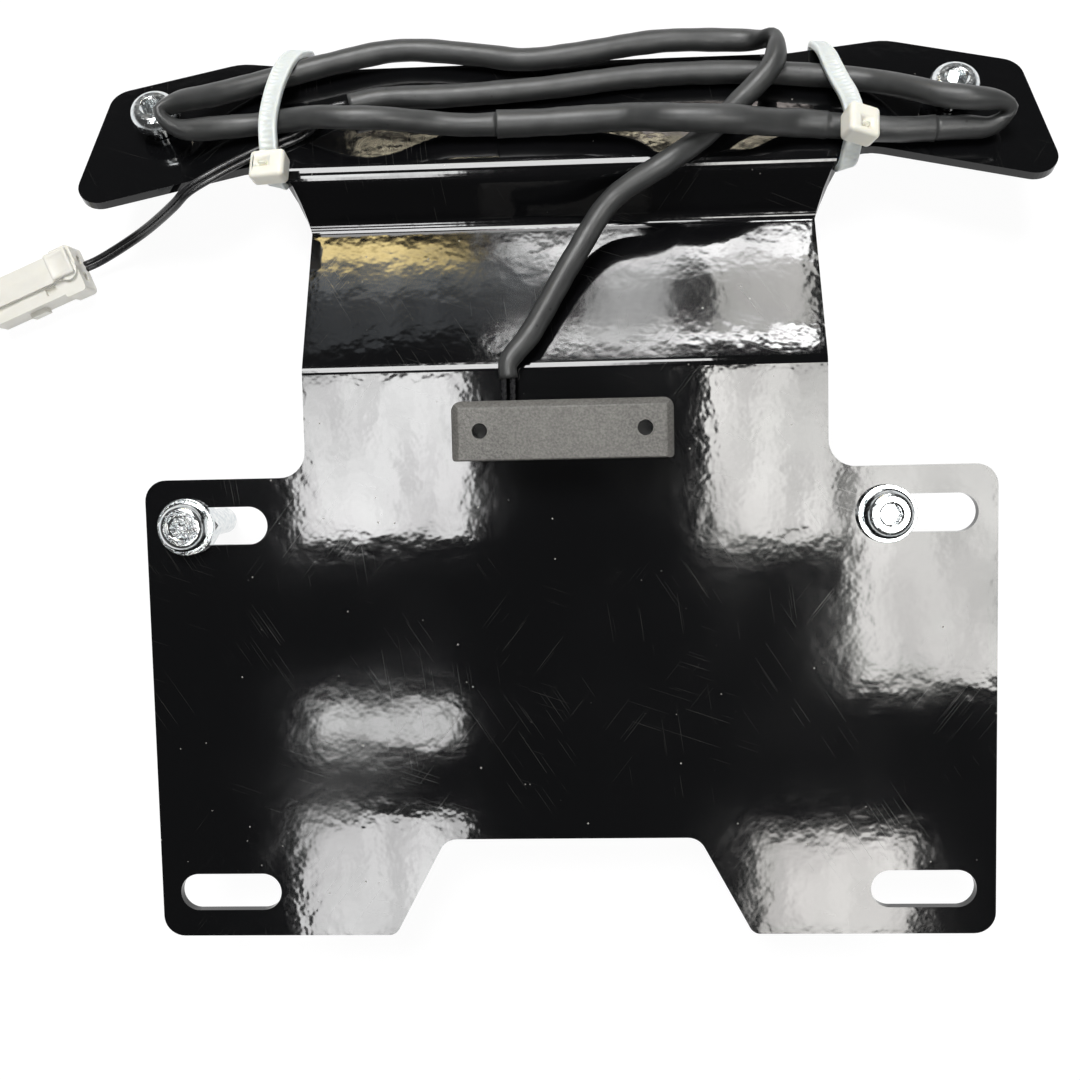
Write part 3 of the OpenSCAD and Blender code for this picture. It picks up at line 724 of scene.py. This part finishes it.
WHITE = (1, 1, 1)
GOLD = (1, 0.79, 0.36)
PALE_BLUE = (0.88, 0.94, 1)
BROWN = (0.5, 0.22, 0.13)
IVORY = (1, 0.99, 0.96)
for name, face, outline, strength, colour, dim in (
    ("left", "deck", [(-56, 121), (-20, 121), (-20, 86), (-56, 86)], 21, WHITE, 0.62),
    ("right_near", "deck", [(30, 121), (57, 121), (57, 84), (30, 84)], 20, IVORY, 0.55),
    ("right_far", "deck", [(60, 121), (92, 121), (92, 54), (60, 54)], 20, IVORY, 0.55),
    ("low_left", "deck", [(-54, 50), (-24, 50), (-24, 42), (-54, 42)], 19, WHITE, 0.6),
    ("foot_left", "deck", [(-58, 26), (-22, 26), (-22, -2), (-58, -2)], 18, WHITE, 0.5),
    ("foot_right", "deck", [(40, 21), (72, 21), (72, -2), (40, -2)], 20, (1, 0.98, 0.95), 0.5),
    ("band_right", "fall", [(-18, 148), (53, 149.5), (53, 143.5), (-2, 142.6)], 27, WHITE, 0.65),
    ("room_left", "fall", [(10, 142.8), (22.5, 142.8), (22.5, 129), (3, 129)], 8, WHITE, 0.5),
    ("room_right", "fall", [(32.5, 142.8), (53, 143.3), (53, 129), (32.5, 129)], 11, (1, 0.99, 0.95), 0.6),
    ("room_line", "fall", [(2, 128.6), (53, 128.6), (53, 127.5), (1, 127.5)], 1.4, BROWN, 0.6),
    ("room_foot", "fall", [(-10, 127.4), (53, 127.6), (53, 125.2), (-16, 125.4)], 40, WHITE, 0.7),
    ("gold", "fall", [(-54, 150.6), (-36, 149.4), (-19, 146.5), (-19, 144.4), (-54, 145)], 24, GOLD, 0.6),
    ("dusk_high", "fall", [(-54, 145), (-2, 144.4), (-6, 138), (-54, 138)], 3.2, PALE_BLUE, 0.4),
    ("dusk_low", "fall", [(-54, 138), (-6, 138), (-10, 130), (-54, 126)], 1.3, PALE_BLUE, 0.3),
    ("wing_low", "wing", [(-44, 168.6), (50, 168.8), (50, 167.9), (-44, 167.9)], 42, (1, 0.9, 0.66), 0.3),
    ("wing_gold", "wing", [(20, 175.5), (52, 176), (52, 171.2), (16, 171)], 10, (1, 0.9, 0.86), 0.4),
    ("wing_edge", "wing", [(-10, 188.4), (44, 188.4), (44, 187.4), (-10, 187.4)], 16, WHITE, 0.8),
):
    glow = panel_glow("panel_" + name, strength, colour, dim)
    mirror_panel("panel_" + name, face, outline, glow)


def floor_card():
    """Pale card to the lamps, and mostly its own white to the camera, also when it is seen
    through clear parts or mirrored."""
    m = Nodes("floor")
    m.set(Base_Color=(0.86, 0.86, 0.86, 1), Roughness=0.9, Specular_IOR_Level=0.0)
    glow = m.add("ShaderNodeEmission")
    glow.inputs["Strength"].default_value = 1.08
    rays = m.add("ShaderNodeLightPath")
    seen = m.math("MAXIMUM", rays.outputs["Is Camera Ray"], rays.outputs["Is Transmission Ray"])
    seen = m.math("MAXIMUM", seen, rays.outputs["Is Glossy Ray"])
    mix = m.add("ShaderNodeMixShader")
    m.link(m.math("MULTIPLY", seen, 0.86), mix.inputs["Fac"])
    m.link(m.shader.outputs["BSDF"], mix.inputs[1])
    m.link(glow.outputs["Emission"], mix.inputs[2])
    m.surface(mix.outputs["Shader"])
    return m.material


def build_floor():
    """A wide floor, a hair below the part."""
    size, gap = 6.0, 0.0002
    mesh = bpy.data.meshes.new("floor")
    corners = [(-size, -size, 0), (size, -size, 0), (size, size, 0), (-size, size, 0)]
    mesh.from_pydata(corners, [], [(0, 1, 2, 3)])
    mesh.materials.append(floor_card())
    floor = bpy.data.objects.new("floor", mesh)
    bpy.context.scene.collection.objects.link(floor)
    floor.location.z = -gap


def build_world():
    """White to the camera, and a pale horizon under a dim ceiling to the object."""
    world = bpy.data.worlds.new("world")
    bpy.context.scene.world = world
    world.use_nodes = True
    tree = world.node_tree
    back = tree.nodes["Background"]
    place = tree.nodes.new("ShaderNodeTexCoord")
    split = tree.nodes.new("ShaderNodeSeparateXYZ")
    tree.links.new(place.outputs["Generated"], split.inputs[0])
    rise = tree.nodes.new("ShaderNodeMapRange")
    tree.links.new(split.outputs["Z"], rise.inputs["Value"])
    set_span(rise, 0.08, 0.24, 1.0, 0.05)
    rays = tree.nodes.new("ShaderNodeLightPath")
    seen = tree.nodes.new("ShaderNodeMath")
    seen.operation = "MAXIMUM"
    tree.links.new(rays.outputs["Is Camera Ray"], seen.inputs[0])
    tree.links.new(rise.outputs["Result"], seen.inputs[1])
    tree.links.new(seen.outputs[0], back.inputs["Strength"])
    back.inputs["Color"].default_value = (1, 1, 1, 1)


def disk_lamp(name, size, energy, target, away, distance, glossy):
    """A soft round lamp that looks at target, distance away from it along away."""
    light = bpy.data.lights.new(name, "AREA")
    light.shape = "DISK"
    light.size = size
    light.energy = energy
    lamp = bpy.data.objects.new(name, light)
    bpy.context.scene.collection.objects.link(lamp)
    lamp.location = target + away * distance
    lamp.rotation_euler = away.to_track_quat("Z", "Y").to_euler()
    lamp.visible_glossy = glossy


build_floor()
build_world()
# The key lamp is above and beyond the tail wing, and the weaker fill is never mirrored
key_lean = math.radians(33)
key_away = Vector((-0.12, math.sin(key_lean), math.cos(key_lean))).normalized()
disk_lamp("key", 0.6, 15, at(0, 130, 0), key_away, 1.2, True)
disk_lamp("fill", 0.9, 7, at(0, 100, 0), Vector((0.3, -0.45, 0.85)).normalized(), 1.3, False)
bpy.context.scene.view_settings.view_transform = "Standard"
